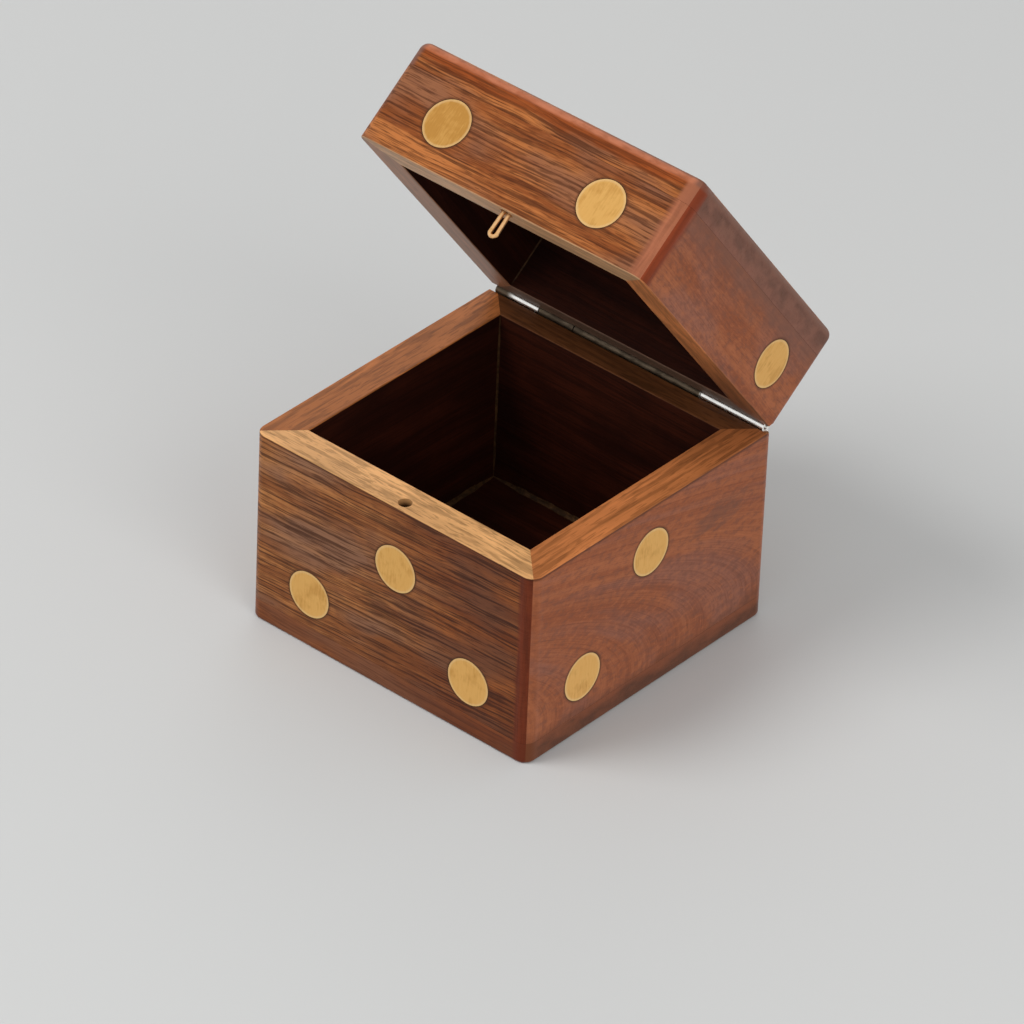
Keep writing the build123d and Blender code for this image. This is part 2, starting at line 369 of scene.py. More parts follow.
def new_material(name):
    material = bpy.data.materials.new(name)
    material.use_nodes = True
    material.node_tree.nodes.clear()
    return material, Tree(material.node_tree)


def box_place(t, lid=False):
    """Millimetres in the shut box: X to the right, Y to the back, Z up from the base."""
    place = t.add("TexCoord").outputs["Object"]
    if lid:
        place = t.add("VectorRotate", {"Vector": place, "Center": hinge_point, "Axis": (1, 0, 0),
                                       "Angle": open_angle}).outputs[0]
    return t.separate(t.add("VectorMath", {0: place, "Scale": 1 / MM}, operation="SCALE").outputs[0])


GRAIN_COLOURS = ("Dark", "Mid", "Light", "Cool")
GRAIN_AMOUNTS = ("Lines", "Bands", "Pores", "Waver")


def grain_group():
    """Solid wood in millimetres: its lines run along X, and Y crosses them on the face."""
    name = "Board grain"
    if name in bpy.data.node_groups:
        return bpy.data.node_groups[name]
    group = bpy.data.node_groups.new(name, "ShaderNodeTree")
    face = group.interface
    face.new_socket("Vector", in_out="INPUT", socket_type="NodeSocketVector")
    for label in GRAIN_COLOURS:
        face.new_socket(label, in_out="INPUT", socket_type="NodeSocketColor")
    for label in GRAIN_AMOUNTS:
        face.new_socket(label, in_out="INPUT", socket_type="NodeSocketFloat")
    face.new_socket("Color", in_out="OUTPUT", socket_type="NodeSocketColor")
    face.new_socket("Height", in_out="OUTPUT", socket_type="NodeSocketFloat")
    t = Tree(group)
    start = group.nodes.new("NodeGroupInput").outputs
    u, v, w = t.separate(start["Vector"])

    # the lines waver along the board
    sway = t.around(t.noise(u, v, w, (0.032, 0.05, 0.05), 2.0, 0.5), start["Waver"])
    v = t.plus(v, sway)
    w = t.plus(w, sway)

    bands = t.noise(u, v, w, (0.013, 0.24, 0.15), 2.0, 0.55)
    broad = t.noise(u, v, w, (0.035, 0.075, 0.075), 1.0, 0.5)
    veins = t.noise(u, v, w, (0.040, 1.75, 0.9), 3.0, 0.6)
    fibres = t.noise(u, v, w, (0.105, 3.4, 1.9), 2.0, 0.6)
    pores = t.noise(u, v, w, (0.26, 4.8, 2.8), 1.0, 0.5)
    ribbon = t.noise(u, v, w, (0.42, 0.10, 0.10), 1.0, 0.5)
    cool = t.noise(v, u, w, (0.11, 0.045, 0.11), 2.0, 0.5)

    # pale bands and fine fibres between the middle and the light colour, and cooler patches over them
    tone = t.plus(t.ramp(bands, 0.33, 0.67), t.around(broad, 0.9), t.around(ribbon, 0.5), -0.5)
    tone = t.times(tone, start["Bands"])
    fine = t.times(t.around(fibres, 2.6), start["Lines"])
    wood = t.mix(t.math("ADD", t.plus(tone, fine), 0.45, clamp=True), start["Mid"], start["Light"])
    wood = t.mix(t.ramp(cool, 0.44, 0.66, 0.0, 0.75), wood, start["Cool"])

    # dark veins and pores, which lie a little below the face
    dark_veins = t.times(t.ramp(veins, 0.46, 0.61), start["Lines"])
    dark_pores = t.times(t.ramp(pores, 0.55, 0.67), start["Pores"])
    wood = t.mix(dark_veins, wood, start["Dark"])
    wood = t.mix(dark_pores, wood, start["Dark"])
    height = t.less(1.0, t.math("MAXIMUM", t.times(dark_veins, 0.5), dark_pores))
    end = group.nodes.new("NodeGroupOutput").inputs
    group.links.new(wood, end["Color"])
    group.links.new(height, end["Height"])
    return group


def grain(t, place, colours, *amounts):
    """The colour and the height of wood at a place, given as along, across and deep."""
    group = t.add("Group")
    group.node_tree = grain_group()
    t.tree.links.new(t.combine(*place), group.inputs["Vector"])
    for label, value in zip(GRAIN_COLOURS, colours):
        group.inputs[label].default_value = rgba(value)
    for label, value in zip(GRAIN_AMOUNTS, amounts):
        group.inputs[label].default_value = value
    return group.outputs["Color"], group.outputs["Height"]


def shades(base, dark, light, cool):
    """One colour as the four that the grain takes."""
    return tuple(tuple(min(1.0, c * k) for c in base) for k in (dark, 0.92, light, cool))


def tinted(colours, tint):
    """Colours, each multiplied by a tint."""
    return tuple(tuple(min(1.0, c * k) for c, k in zip(one, tint)) for one in colours)


def streaked_colours():
    settings = wood_settings()
    return settings.grain_dark, settings.grain_mid, settings.grain_light, settings.grain_cool


def figured_colours():
    settings = wood_settings()
    return settings.figure_dark, settings.figure_mid, settings.figure_light, settings.figure_cool


def finish(t, base, rough, height, strength, depth, more):
    """A surface: its colour and roughness, the height, strength and depth of its marks, and more inputs."""
    normal = t.add("Bump", {"Strength": strength, "Distance": depth, "Height": height}).outputs[0]
    shader = t.add("BsdfPrincipled", {"Base Color": base, "Roughness": rough, "Normal": normal, **more})
    t.add("OutputMaterial", {"Surface": shader.outputs[0]})


def finish_wood(t, base, height, bare):
    """Oiled wood over a colour and the height of its pores. bare is 1 where it was never oiled."""
    dull = wood_settings().roughness
    rough = t.plus(t.ramp(height, 0.0, 1.0, dull + 0.16, dull), t.times(bare, 0.3))
    finish(t, base, rough, height, 0.3, PORE_DEPTH, {"Specular IOR Level": 0.14})


def finish_metal(t, base, rough, height, strength, depth):
    finish(t, base, rough, height, strength, depth, {"Metallic": 1.0})


def inside_stain_and_shade(t, along, across, deep):
    """The dark stained wood of the inside, darkened further as painted shade."""
    colours = shades(wood_settings().inside, 0.45, 1.9, 0.7)
    return grain(t, (along, across, deep), colours, 0.5, 1.0, 0.4, 2.0)[0]


def redder_wood_and_shadow(t, wood, along, place):
    """Wood that turns darker and redder towards its right end: a painted cast shadow, over wood that is
    redder there.
    """
    shadow_reach = t.plus(along, t.around(t.noise(*place, (0.03, 0.12, 0.1)), 34.0))
    return t.mix(t.ramp(shadow_reach, -14.0, 24.0, 0.0, 0.85), wood, rgba(wood_settings().redder_wood_and_shadow), "MULTIPLY")


def glue_stain(t, wood, ring):
    """Wood with the dark line of glue that has soaked in round each pip."""
    start, end = (pip_radius + POCKET_GAP + reach for reach in STAIN_REACH)
    return t.mix(t.ramp(ring, start, end, 0.55, 0.0), wood, rgba(metal_settings().glue))


# A place on a mitred board, in millimetres: in the shut box, along the board, below its face, along its own
# piece of wood, and (in log) along, across and deep in the grain
Spot = namedtuple("Spot", "x y z along deep far log")


def board_spot(t, side, lid):
    x, y, z = box_place(t, lid)
    _, _, outward, out = FACES[side]
    if side in STREAKED:
        along, deep = x, t.less(out, t.times(y, outward.y))
    else:
        along, deep = y, t.less(out, t.times(x, outward.x))
    seed = SIDE_SEED * (SIDES.index(side) + 1) + (LID_SEED if lid else 0.0)
    slope = FIGURE[side][-1]
    if lid:
        slope = 0.5 * slope + 0.02
    far = t.plus(along, seed)
    log = (far, t.plus(z, t.times(along, slope)), t.plus(deep, seed))
    return Spot(x, y, z, along, deep, far, log)


def board_face(t, side, lid, spot):
    """The colour of a board's outer face, and the height of its pores."""
    settings = wood_settings()
    place = (spot.far, spot.z, spot.deep)
    lines, bands, pores, waver, _ = FIGURE[side]
    if side in STREAKED:
        colours = tinted(streaked_colours(), LID_TINT if lid else BODY_TINT)
        face, height = grain(t, spot.log, colours, lines * (LID_LINES if lid else 1.0), bands, pores, waver)
        if side == "front" and not lid:
            face = redder_wood_and_shadow(t, face, spot.along, place)
        return face, height

    if lid:
        face, height = grain(t, spot.log, figured_colours(), lines, bands * LID_BANDS, pores, waver)
    else:
        # plain-sawn figure: nested arches that open towards one end of the board
        way, tip = ARCHES[side]
        rise = t.math("DIVIDE", t.math("POWER", t.less(spot.z, tip), 2.0), ARCH_SPREAD)
        arch = t.times(t.plus(t.times(spot.along, way), rise), ARCH_SPACING)
        arched = (spot.z, arch, spot.log[2])
        face, height = grain(t, arched, figured_colours(), lines, bands, pores, ARCH_WAVER)

    # a fine mottle over the plainer boards, warm and cool
    mottle = t.noise(*place, (0.42, 0.75, 0.4), 4.0, 0.68)
    face = t.mix(t.ramp(mottle, 0.48, 0.64, 0.0, 0.45), face, rgba(settings.figure_cool, 0.55))
    face = t.mix(t.ramp(mottle, 0.48, 0.34, 0.0, 0.40), face, rgba(settings.figure_light, 1.15))
    return face, height


def marked_face(t, face, side, lid, spot):
    """A board's face with its dark foot, its grey patches and the glue round its pips."""
    settings = wood_settings()
    place = (spot.far, spot.z, spot.deep)
    if not lid:
        # a darker, greyer foot, with a soft and broken edge
        foot = t.plus(spot.z, t.around(t.noise(*place, (0.12, 0.35, 0.1), 3.0), 7.0))
        depth = 0.3 if side in STREAKED else 0.62
        face = t.mix(t.ramp(foot, 8.5, 3.5, 0.0, depth), face, rgba(settings.foot))
    if side == "right" and lid:
        # greyer below the top board
        tone_and_painted_light = t.plus(spot.z, t.around(t.noise(*place, (0.16, 0.3, 0.1), 3.0), 8.0))
        face = t.mix(t.ramp(tone_and_painted_light, ceiling - 8.0, ceiling + 1.5, 0.0, 0.8), face, rgba(settings.end_grain))
    elif side == "right":
        # a ragged grey patch
        (along, up), (wide, tall) = GREY_PATCH, GREY_PATCH_SIZE
        middle = (along / wide, up / tall)
        near = t.nearest(t.times(spot.along, 1 / wide), t.times(spot.z, 1 / tall), [middle])
        near = t.plus(near, t.around(t.noise(*place, (0.16, 0.55, 0.1), 3.0, 0.65), 3.2))
        face = t.mix(t.ramp(near, 1.5, 0.4, 0.0, 0.5), face, rgba(settings.end_grain, 0.85))

    body = "lid" if lid else "body"
    spots = [(-a if side in MIRRORED else a, b) for a, b in pip_spots(f"{body}_{side}_pips")]
    return glue_stain(t, face, t.nearest(spot.along, spot.z, spots))


def board_corner(t, face, side, lid, spot):
    """A face with its half of the front right corner: red end grain on one board, darkened on the body as
    painted shadow, and a paler painted highlight on the other.
    """
    settings = wood_settings()
    red_half = (side == "front") != lid
    ends = t.noise(spot.far, spot.z, spot.deep, (0.8, 0.08, 0.8), 3.0, 0.6)
    reach = t.less(half_width, spot.x) if side == "front" else t.plus(half_depth, spot.y)
    reach = t.plus(reach, t.around(ends, 1.6))
    tone = settings.shaded_corner_red if red_half else settings.corner_highlight
    unshaded = LID_CORNER_UNSHADED if lid and red_half else 1.0
    end_wood = t.mix(t.ramp(ends, 0.3, 0.7), rgba(tone, 0.8 * unshaded), rgba(tone, 1.25 * unshaded))
    soft = 1.1 if lid or not red_half else CORNER_SOFTNESS
    depth = CORNER_STRENGTH if lid or red_half else 0.25
    return t.mix(t.ramp(reach, CORNER_BAND - soft, CORNER_BAND + soft, depth, 0.0), face, end_wood)


def board_rim(t, side, lid, spot):
    """The sawn rim of a board."""
    settings = wood_settings()
    colours = shades(getattr(settings, f"{side}_rim"), 0.36, 1.25, 0.9)
    rim, _ = grain(t, spot.log, colours, 0.55, 1.1, 0.5, 1.2)
    if side == "right":
        # painted shadow of the open lid: the right rim darkens towards the hinge
        rim = t.mix(t.ramp(spot.along, -8.0, 30.0, 0.0, 0.6), rim, rgba(settings.right_rim_lid_shadow), "MULTIPLY")
    if lid:
        rim = t.mix(0.1 if side == "right" else 0.45, rim, rgba(settings.rim_grey))
    return rim


def board_material(body, side):
    """The wood of one mitred board: its face, its corner, its rim and its inside."""
    settings = wood_settings()
    lid = body == "lid"
    rim_height, inward = (lid_rim, 1) if lid else (body_rim, -1)
    material, t = new_material(f"{body} {side} board")
    spot = board_spot(t, side, lid)
    surface, height = board_face(t, side, lid, spot)
    surface = marked_face(t, surface, side, lid, spot)
    if side in ("front", "right"):
        surface = board_corner(t, surface, side, lid, spot)
    if not lid:
        # a dark line below the rounded edge of the rim
        surface = t.mix(t.ramp(spot.z, body_rim - 0.95, body_rim - 0.35, 0.0, 0.65), surface,
                        rgba(settings.grain_dark))
    on_rim = t.ramp(spot.z, *(rim_height + inward * below for below in RIM_EDGE))
    surface = t.mix(on_rim, surface, board_rim(t, side, lid, spot))

    within = t.ramp(spot.deep, wall_thickness - 0.12, wall_thickness - 0.04)
    within = t.times(within, t.less(1.0, on_rim))
    surface = t.mix(within, surface, inside_stain_and_shade(t, spot.far, spot.log[1], spot.deep))
    if side == "front":
        # the hole for the catch, pale at its mouth and darkening below as painted shade
        hole = t.nearest(spot.x, spot.y, [(catch_middle.x, catch_middle.y)])
        sunk = t.math("ABSOLUTE", t.less(spot.z, rim_height))
        shaft = t.mix(t.ramp(sunk, 0.2, 2.2), rgba(settings.front_rim, 0.75), rgba(settings.inside))
        surface = t.mix(t.ramp(hole, CATCH_HOLE_RADIUS + 0.06, CATCH_HOLE_RADIUS + 0.02), surface, shaft)
    finish_wood(t, surface, height, within)
    return material


def panel_edge(t, lid, seed, x, y, z):
    """The long edges of the top or the bottom board, and the height of their pores."""
    settings = wood_settings()
    place = (t.plus(x, seed), t.plus(z, t.times(x, 0.01)), t.plus(y, seed))
    if lid:
        fiery, _ = grain(t, place, shades(settings.band, 0.35, 1.3, 0.95), 0.7, 1.5, 0.5, 2.0)
        edge, height = grain(t, place, streaked_colours(), 0.78, 1.1, 0.5, 2.4)
        fire = t.noise(x, z, y, (0.035, 0.30, 0.1), 3.0, 0.6)
        fire = t.plus(fire, t.times(t.less(z, ceiling + 2.6), 0.05))
        return t.mix(t.ramp(fire, 0.40, 0.60, 0.1, 1.0), edge, fiery), height
    edge, height = grain(t, place, streaked_colours(), 0.5, 0.9, 0.4, 2.0)
    # the same painted shadow, darker and redder towards the right, on the front edge of the bottom board
    edge = redder_wood_and_shadow(t, edge, x, (x, z, y))
    return t.mix(0.35, edge, rgba(settings.foot)), height


def panel_end(t, lid, x, y, z):
    """The sawn ends of the top or the bottom board: soft mottling and open pores."""
    settings = wood_settings()
    tone = settings.end_grain if lid else settings.foot
    mottle = t.noise(x, y, z, (0.2, 0.22, 0.34), 3.0, 0.55)
    end = t.mix(t.ramp(mottle, 0.35, 0.65), rgba(tone, 0.82), rgba(tone, 1.2))
    rise = t.plus(z, t.around(t.noise(x, y, z, (0.1, 0.12, 0.35), 3.0), 7.0))
    if lid:
        end = t.mix(t.ramp(rise, ceiling - 0.5, ceiling + 3.5, 0.55, 1.0), rgba(settings.figure_cool), end)
    else:
        end = t.mix(t.ramp(rise, 5.2, 2.0, 0.3, 1.0), rgba(settings.figure_mid, 0.9), end)
    speck = t.noise(x, y, z, (1.2, 1.5, 1.1), 3.0, 0.65)
    return t.mix(t.ramp(speck, 0.56, 0.68, 0.0, 0.22), end, rgba(settings.grain_dark))


def panel_corner(t, surface, lid, x, y):
    """The front right corner of the top or the bottom board, in the colours of the boards that it meets, with
    their painted shadow and painted highlight.
    """
    settings = wood_settings()
    aside, ahead = t.less(half_width, x), t.plus(y, half_depth)
    corner = t.ramp(t.math("MAXIMUM", aside, ahead), CORNER_BAND - CORNER_SOFTNESS,
                    CORNER_BAND + CORNER_SOFTNESS, CORNER_STRENGTH, 0.0)
    if lid:
        halves = rgba(settings.shaded_corner_red, LID_CORNER_UNSHADED), rgba(settings.corner_highlight)
    else:
        halves = rgba(settings.foot, 1.25), rgba(settings.shaded_corner_red)
    return t.mix(corner, surface, t.mix(t.ramp(t.less(aside, ahead), -0.05, 0.05), *halves))


def panel_top(t, surface, on_end, seed, x, y, z):
    """The top board with a paler painted highlight round its rounded top edge, and the top itself, as
    streaked as the front.
    """
    settings = wood_settings()
    highlight_noise = t.noise(x, y, z, (0.22, 0.22, 0.5), 3.0, 0.6)
    edge_height = lid_top - TOP_EDGE_RADIUS
    # painted highlight along the rounded top edge, broken up by noise
    tone_and_painted_light = t.times(t.ramp(z, edge_height - 0.3, edge_height + 0.5), t.ramp(highlight_noise, 0.3, 0.7, 0.45, 1.0))
    pale = t.mix(on_end, rgba(settings.corner_highlight, 1.5), rgba(settings.end_grain, 1.15))
    surface = t.mix(tone_and_painted_light, surface, pale)
    place = (t.plus(x, seed), t.plus(y, t.times(x, 0.03)), t.plus(z, seed))
    top, _ = grain(t, place, streaked_colours(), 0.6, 0.95, 0.5, 2.6)
    top = glue_stain(t, top, t.nearest(x, y, pip_spots("lid_top_pips")))
    return t.mix(t.ramp(z, lid_top - 0.9, lid_top - 0.1), surface, top)


def panel_material(body):
    """The planted top or bottom board, with its grain along the box's front."""
    lid = body == "lid"
    material, t = new_material("lid top board" if lid else "body bottom board")
    x, y, z = box_place(t, lid)
    seed = TOP_SEED if lid else BOTTOM_SEED
    surface, height = panel_edge(t, lid, seed, x, y, z)
    from_end = t.less(half_width, t.math("ABSOLUTE", x))
    on_end = t.ramp(from_end, CORNER_RADIUS + 0.2, CORNER_RADIUS - 1.4)
    surface = t.mix(on_end, surface, panel_end(t, lid, x, y, z))
    surface = panel_corner(t, surface, lid, x, y)
    if lid:
        surface = panel_top(t, surface, on_end, seed, x, y, z)
        within = t.ramp(z, ceiling + 0.06, ceiling + 0.02)
    else:
        within = t.ramp(z, bottom_thickness - 0.06, bottom_thickness - 0.02)
    surface = t.mix(within, surface, inside_stain_and_shade(t, t.plus(x, seed), y, z))
    finish_wood(t, surface, height, within)
    return material


def pip_material(node):
    """Sanded brass: dull patches, fine scratches and a bright edge ring painted as a highlight."""
    settings = metal_settings()
    body, side, _ = node.split("_")
    material, t = new_material(node.replace("_", " "))
    x, y, z = box_place(t, body == "lid")
    along = y if side in ("right", "left") else x
    up = y if side == "top" else z
    if side in MIRRORED:
        along = t.times(along, -1.0)
    ring = t.nearest(along, up, pip_spots(node))
    patches = t.noise(x, y, z, (0.16, 0.16, 0.16), 3.0, 0.55)
    mottle = t.noise(x, y, z, (0.7, 0.7, 0.7), 3.0, 0.6)
    scratches = t.noise(along, up, ring, (2.2, 0.28, 0.0), 3.0, 0.65, 0.4)
    dull = t.plus(t.ramp(patches, 0.42, 0.66, 0.0, 0.8), t.around(mottle, 0.9),
                  t.around(scratches, 1.8), -0.15)
    if node == "lid_front_pips":
        dull = t.plus(dull, t.ramp(x, -10.0, -14.0, 0.0, 1.1))     # the left one is more tarnished
    dull = t.math("MULTIPLY", dull, 0.75, clamp=True)
    base = t.mix(dull, rgba(settings.brass), rgba(settings.brass_dull))
    # painted highlight: a bright ring just inside each pip's edge
    edge = t.plus(ring, t.around(mottle, 0.35))
    edge = t.ramp(edge, pip_radius - 0.7, pip_radius - 0.2, 0.0, 0.55)
    base = t.mix(edge, base, rgba(settings.brass_edge_highlight))
    finish_metal(t, base, t.ramp(scratches, 0.3, 0.7, 0.38, 0.52), scratches, 0.2, SCRATCH_DEPTH)
    return material


def wire_material():
    """Drawn brass wire, a little stained."""
    settings = metal_settings()
    material, t = new_material("catch wire")
    x, y, z = box_place(t, True)
    stain = t.noise(x, y, z, (0.9, 0.9, 0.9), 3.0, 0.6)
    drawn = t.noise(x, y, z, (6.0, 6.0, 0.5), 2.0, 0.6)
    base = t.mix(t.ramp(stain, 0.45, 0.72, 0.0, 0.5), rgba(settings.wire), rgba(settings.brass_dull))
    finish_metal(t, base, t.ramp(drawn, 0.3, 0.7, 0.24, 0.38), drawn, 0.15, DRAWN_DEPTH)
    return material


def hinge_material():
    """Plated steel, bright at the ends of the hinge and on its leaves, and dark along its middle as painted
    shade of the lid.
    """
    settings = metal_settings()
    material, t = new_material("plated hinge")
    x, y, z = box_place(t)
    marks = t.noise(x, y, z, (0.35, 3.0, 3.0), 3.0, 0.6)
    blotch = t.noise(x, y, z, (0.30, 0.8, 0.8), 3.0, 0.6)
    left_end = t.ramp(t.plus(x, t.around(blotch, 1.6)), *LEFT_BRIGHT)
    left_end = t.times(left_end, t.ramp(x, *LEFT_BRIGHT_END))
    behind = t.ramp(y, hinge_point.y / MM + 0.3, hinge_point.y / MM + 0.8)
    bright = t.math("MAXIMUM", t.math("MAXIMUM", left_end, t.ramp(x, *RIGHT_BRIGHT)), behind)
    # painted shade of the lid on the middle knuckles; the ends and leaves stay bright
    tone_and_painted_light = t.mix(t.ramp(blotch, 0.4, 0.62), rgba(settings.plate_shaded, 0.75), rgba(settings.plate_shaded, 1.35))
    plate = t.mix(t.ramp(blotch, 0.5, 0.72, 0.0, 0.3), rgba(settings.plate), rgba(settings.plate, 0.6))
    rough = t.plus(t.ramp(marks, 0.3, 0.7, 0.18, 0.32), t.ramp(bright, 0.0, 1.0, 0.28, 0.0))
    finish_metal(t, t.mix(bright, tone_and_painted_light, plate), rough, marks, 0.12, PLATING_DEPTH)
    return material


def glue_material(name, tint, lid):
    """Dried glue, lumpy and uneven in colour."""
    material, t = new_material(name)
    x, y, z = box_place(t, lid)
    lumps = t.noise(x, y, z, (0.7, 0.7, 0.7), 3.0, 0.6)
    base = t.mix(t.ramp(lumps, 0.35, 0.68), rgba(tint, 0.35), rgba(tint))
    finish(t, base, 0.6, lumps, 0.4, LUMP_DEPTH, {"Specular IOR Level": 0.3})
    return material


# ---------------------------------------------------------------- mesh building

def dress(node, material):
    """Give a node of the frame its material."""
    piece = frame["nodes"][node]
    piece.data.materials.clear()
    piece.data.materials.append(material)


def new_piece(name, bm, material, body):
    """A mesh, built in millimetres of the shut box, as an object that rides on a body."""
    bmesh.ops.recalc_face_normals(bm, faces=bm.faces)
    for vert in bm.verts:
        vert.co = vert.co * MM
        if body == "lid":
            vert.co = opened(vert.co)
    for face in bm.faces:
        face.smooth = True
    mesh = bpy.data.meshes.new(name)
    bm.to_mesh(mesh)
    bm.free()
    mesh.materials.append(material)
    piece = bpy.data.objects.new(name, mesh)
    bpy.context.scene.collection.objects.link(piece)
    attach(piece, body)


def sweep(bm, stations, closed=False):
    """Skin a row of outlines, each a list of points, and cap the ends where the row is open."""
    rows = [[bm.verts.new(p) for p in outline] for outline in stations]
    pairs = list(zip(rows, rows[1:]))
    if closed:
        pairs.append((rows[-1], rows[0]))
    for a, b in pairs:
        for i in range(len(a)):
            j = (i + 1) % len(a)
            bm.faces.new((a[i], a[j], b[j], b[i]))
    if not closed:
        bm.faces.new(rows[0])
        bm.faces.new(list(reversed(rows[-1])))


def glue_ring(bm, middle, along, up, out):
    """A thin ring of dark glue in the gap round a pip, a little below the face and uneven."""
    outlines = []
    inner, outer = pip_radius + RING_CLEARANCE, pip_radius + POCKET_GAP - RING_CLEARANCE
    for i in range(RING_STEPS):
        angle = 2 * pi * i / RING_STEPS
        way = along * cos(angle) + up * sin(angle)
        sunk = 0.05 + 0.05 * noise.noise(way * 4.0 + middle)
        deep = sunk + RING_DEPTH
        corners = ((inner, deep), (outer, deep), (outer, sunk), (inner, sunk + 0.02))
        outlines.append([middle + way * reach - out * below for reach, below in corners])
    sweep(bm, outlines, closed=True)


def glue_bead(bm, start, end, first, second, size, lumps):
    """A bead of squeezed-out glue in an inside corner. first and second lead off along its two walls."""
    run = end - start
    steps = max(8, int(run.length / BEAD_STEP))
    outlines = []
    for i in range(steps + 1):
        share = i / steps
        spot = start + run * share
        wide = size * (1 + lumps * noise.noise(spot * 0.35)) * (1 + 0.3 * noise.noise(spot * 1.7))
        tall = size * (1 + lumps * noise.noise(spot * 0.35 + Vector((40, 0, 0))))
        taper = min(1.0, 0.25 + 6 * min(share, 1 - share))
        a, b = first * wide * taper, second * tall * taper
        bow = [spot + a * (1 - s) ** BEAD_BOW + b * s ** BEAD_BOW for s in BEAD_SHARES]
        outlines.append([spot] + bow)
    sweep(bm, outlines)


class BodyBoards(bpy.types.Operator):
    """Dress the four mitred boards of the body and its bottom"""
    bl_idname = "die_box.body_boards"
    bl_label = "Body boards"

    def execute(self, context):
        for side in SIDES:
            dress(f"body_{side}_wall", board_material("body", side))
        dress("bottom_panel", panel_material("body"))
        return {"FINISHED"}


class LidBoards(bpy.types.Operator):
    """Dress the four mitred boards of the lid and its top"""
    bl_idname = "die_box.lid_boards"
    bl_label = "Lid boards"

    def execute(self, context):
        for side in SIDES:
            dress(f"lid_{side}_wall", board_material("lid", side))
        dress("lid_top_panel", panel_material("lid"))
        return {"FINISHED"}


class Pips(bpy.types.Operator):
    """Dress the brass pips and run the glue round them"""
    bl_idname = "die_box.pips"
    bl_label = "Brass pips"

    def execute(self, context):
        for body in ("body", "lid"):
            bm = bmesh.new()
            for node in PIP_NODES:
                if node.startswith(body):
                    dress(node, pip_material(node))
                    along, up, out, reach = FACES[node.split("_")[1]]
                    for a, b in pip_spots(node):
                        glue_ring(bm, along * a + up * b + out * reach, along, up, out)
            glue = glue_material(f"{body} pip glue", metal_settings().glue, body == "lid")
            new_piece(f"{body}_pip_glue", bm, glue, body)
        return {"FINISHED"}


class GlueBeads(bpy.types.Operator):
    """Run the dried glue down the inside corners and round the floor"""
    bl_idname = "die_box.glue_beads"
    bl_label = "Glue beads"

    def execute(self, context):
        wide, deep = (half - wall_thickness - BEAD_CLEARANCE for half in (half_width, half_depth))
        corners = [Vector((sx * wide, sy * deep, 0)) for sx, sy in ((-1, -1), (1, -1), (1, 1), (-1, 1))]
        floor, body_end = bottom_thickness + BEAD_CLEARANCE, body_rim - BEAD_END
        lid_end, roof = lid_rim + BEAD_END, ceiling - BEAD_CLEARANCE
        self.run("body", corners, (floor, body_end), floor, 1)
        self.run("lid", corners, (lid_end, roof), roof, -1)
        return {"FINISHED"}

    def run(self, body, corners, ends, panel, away):
        """Beads up the corners between two heights, and round a panel. away leads off the panel."""
        bm = bmesh.new()
        low, high, plate, lift = (Vector((0, 0, z)) for z in (*ends, panel, away))
        upright_size, level_size = BEAD_SIZES[body]
        upright_lumps, level_lumps = BEAD_LUMPS
        for i, corner in enumerate(corners):
            before, after = corners[i - 1] - corner, corners[(i + 1) % 4] - corner
            glue_bead(bm, corner + low, corner + high, before.normalized(), after.normalized(),
                      upright_size, upright_lumps)
            glue_bead(bm, corner + plate, corner + after + plate, lift, before.normalized(),
                      level_size, level_lumps)
        glue = glue_material(f"{body} bead", metal_settings().bead, body == "lid")
        new_piece(f"{body}_glue_beads", bm, glue, body)


class Hinge(bpy.types.Operator):
    """Dress the strip hinge, its pin and its nails"""
    bl_idname = "die_box.hinge"
    bl_label = "Strip hinge"

    def execute(self, context):
        material = hinge_material()
        for name in frame["nodes"]:
            if name.startswith("hinge_"):
                dress(name, material)
        return {"FINISHED"}


class Catch(bpy.types.Operator):
    """Dress the wire catch"""
    bl_idname = "die_box.catch"
    bl_label = "Wire catch"

    def execute(self, context):
        dress("catch_spring", wire_material())
        return {"FINISHED"}


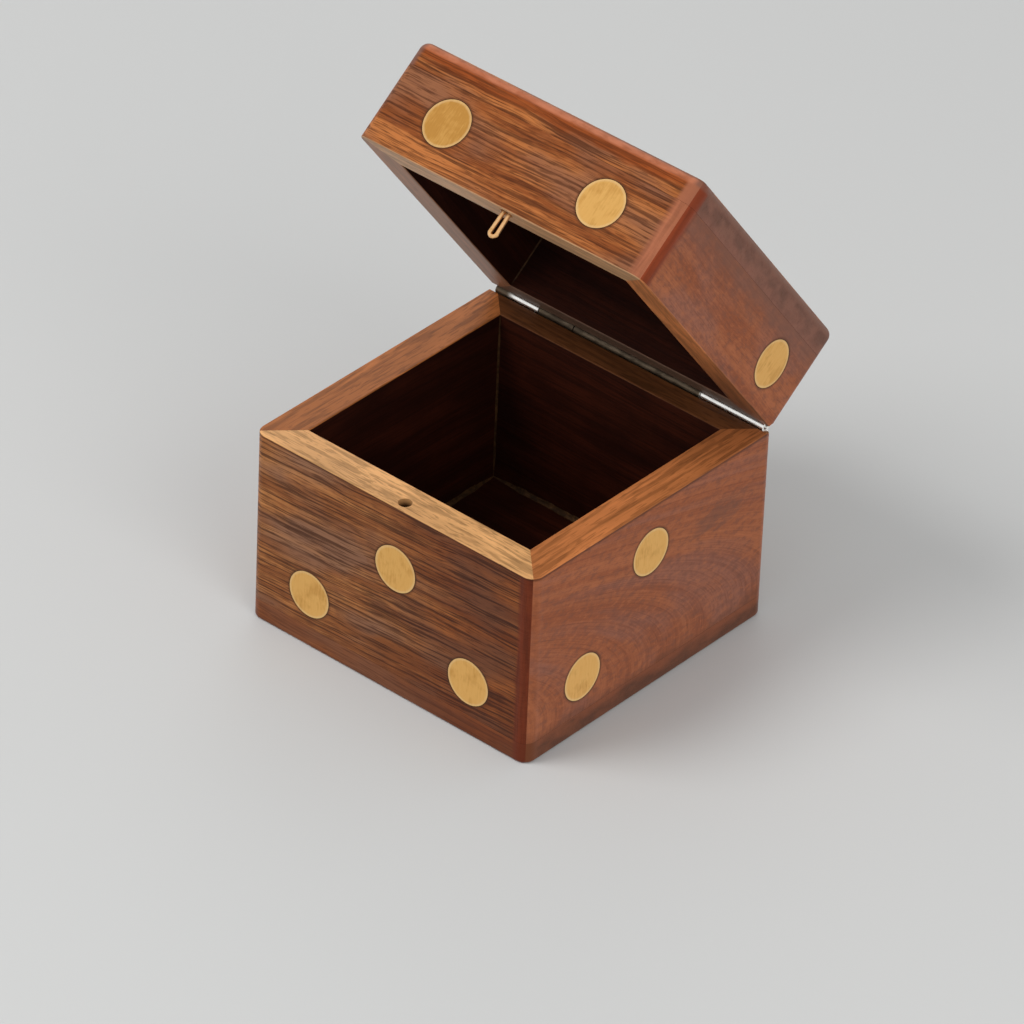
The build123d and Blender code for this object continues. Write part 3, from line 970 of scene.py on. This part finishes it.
class Stage(bpy.types.Operator):
    """Make the floor, the lamps and the camera"""
    bl_idname = "die_box.stage"
    bl_label = "Stage"

    def execute(self, context):
        settings = stage_settings()
        scene = context.scene
        scene.view_settings.view_transform = "Standard"
        self.floor(scene, settings)
        self.world(scene, settings)
        for name, (place, size, seen_in_gloss) in LAMPS.items():
            self.lamp(scene, name, place, size, getattr(settings, name), seen_in_gloss)
        self.camera(scene, settings)
        return {"FINISHED"}

    def floor(self, scene, settings):
        mesh = bpy.data.meshes.new("floor")
        corners = [(sx * FLOOR_REACH, sy * FLOOR_REACH, 0) for sx, sy in ((-1, -1), (1, -1), (1, 1), (-1, 1))]
        mesh.from_pydata(corners, [], [(0, 1, 2, 3)])
        floor = bpy.data.objects.new("floor", mesh)
        material, t = new_material("floor")
        matt = t.add("BsdfPrincipled", {
            "Base Color": rgba(settings.floor), "Roughness": 0.85, "Specular IOR Level": 0.2})
        pale = t.add("Emission", {"Color": rgba(settings.floor), "Strength": settings.sheen * 1.35})
        glossy = t.add("LightPath").outputs["Is Glossy Ray"]
        surface = t.add("MixShader", (glossy, matt.outputs[0], pale.outputs[0]))
        t.add("OutputMaterial", {"Surface": surface.outputs[0]})
        mesh.materials.append(material)
        scene.collection.objects.link(floor)

    def world(self, scene, settings):
        world = bpy.data.worlds.new("studio")
        world.use_nodes = True
        world.node_tree.nodes.clear()
        t = Tree(world.node_tree)
        soft = t.add("Background", {"Color": (0.97, 0.985, 1.0, 1.0), "Strength": settings.sky})
        bright = t.add("Background", {"Color": (1.0, 1.0, 1.0, 1.0), "Strength": settings.sheen})
        glossy = t.add("LightPath").outputs["Is Glossy Ray"]
        surface = t.add("MixShader", (glossy, soft.outputs[0], bright.outputs[0]))
        t.add("OutputWorld", {"Surface": surface.outputs[0]})
        scene.world = world

    def lamp(self, scene, name, place, size, power, seen_in_gloss):
        data = bpy.data.lights.new(name, "AREA")
        data.shape = "DISK"
        data.size = size
        data.energy = power
        lamp = bpy.data.objects.new(name, data)
        lamp.location = place
        lamp.rotation_euler = (LAMP_TARGET - Vector(place)).to_track_quat("-Z", "Y").to_euler()
        lamp.visible_glossy = seen_in_gloss
        scene.collection.objects.link(lamp)

    def camera(self, scene, settings):
        azimuth, elevation, roll = (radians(a) for a in (CAMERA_AZIMUTH, CAMERA_ELEVATION, CAMERA_ROLL))
        back = Vector((sin(azimuth) * cos(elevation), -cos(azimuth) * cos(elevation), sin(elevation)))
        right = Vector((cos(azimuth), sin(azimuth), 0.0))
        up = back.cross(right)
        turned_right = right * cos(roll) + up * sin(roll)
        turned_up = up * cos(roll) - right * sin(roll)
        data = bpy.data.cameras.new("camera")
        data.lens = settings.focal_length
        data.sensor_width = SENSOR_WIDTH
        data.clip_start = 0.1
        data.clip_end = 20.0
        camera = bpy.data.objects.new("camera", data)
        place = CAMERA_TARGET + back * CAMERA_DISTANCE
        camera.matrix_world = Matrix((
            (turned_right.x, turned_up.x, back.x, place.x),
            (turned_right.y, turned_up.y, back.y, place.y),
            (turned_right.z, turned_up.z, back.z, place.z),
            (0, 0, 0, 1)))
        scene.collection.objects.link(camera)
        scene.camera = camera


class DieBoxPanel(bpy.types.Panel):
    """The sidebar panel of the die box"""
    bl_idname = "VIEW3D_PT_die_box"
    bl_label = "Die Box"
    bl_space_type = "VIEW_3D"
    bl_region_type = "UI"
    bl_category = "Die Box"

    def draw(self, context):
        layout = self.layout
        for operator in OPERATORS:
            layout.operator(operator.bl_idname)
        for settings in (wood_settings(), metal_settings(), stage_settings()):
            column = layout.column(align=True)
            for name in settings.__annotations__:
                column.prop(settings, name)


SETTINGS = {
    "die_box_wood": DieBoxWoodSettings,
    "die_box_metal": DieBoxMetalSettings,
    "die_box_stage": DieBoxStageSettings,
}
OPERATORS = (BodyBoards, LidBoards, Pips, GlueBeads, Hinge, Catch, Stage)


def register():
    for name, group in SETTINGS.items():
        bpy.utils.register_class(group)
        setattr(bpy.types.Scene, name, bpy.props.PointerProperty(type=group))
    for operator in OPERATORS:
        bpy.utils.register_class(operator)
    bpy.utils.register_class(DieBoxPanel)


def unregister():
    bpy.utils.unregister_class(DieBoxPanel)
    for operator in reversed(OPERATORS):
        bpy.utils.unregister_class(operator)
    for name, group in SETTINGS.items():
        delattr(bpy.types.Scene, name)
        bpy.utils.unregister_class(group)


def main():
    register()
    bpy.ops.die_box.body_boards()
    bpy.ops.die_box.lid_boards()
    bpy.ops.die_box.pips()
    bpy.ops.die_box.glue_beads()
    bpy.ops.die_box.hinge()
    bpy.ops.die_box.catch()
    bpy.ops.die_box.stage()


if __name__ == "__main__":
    main()
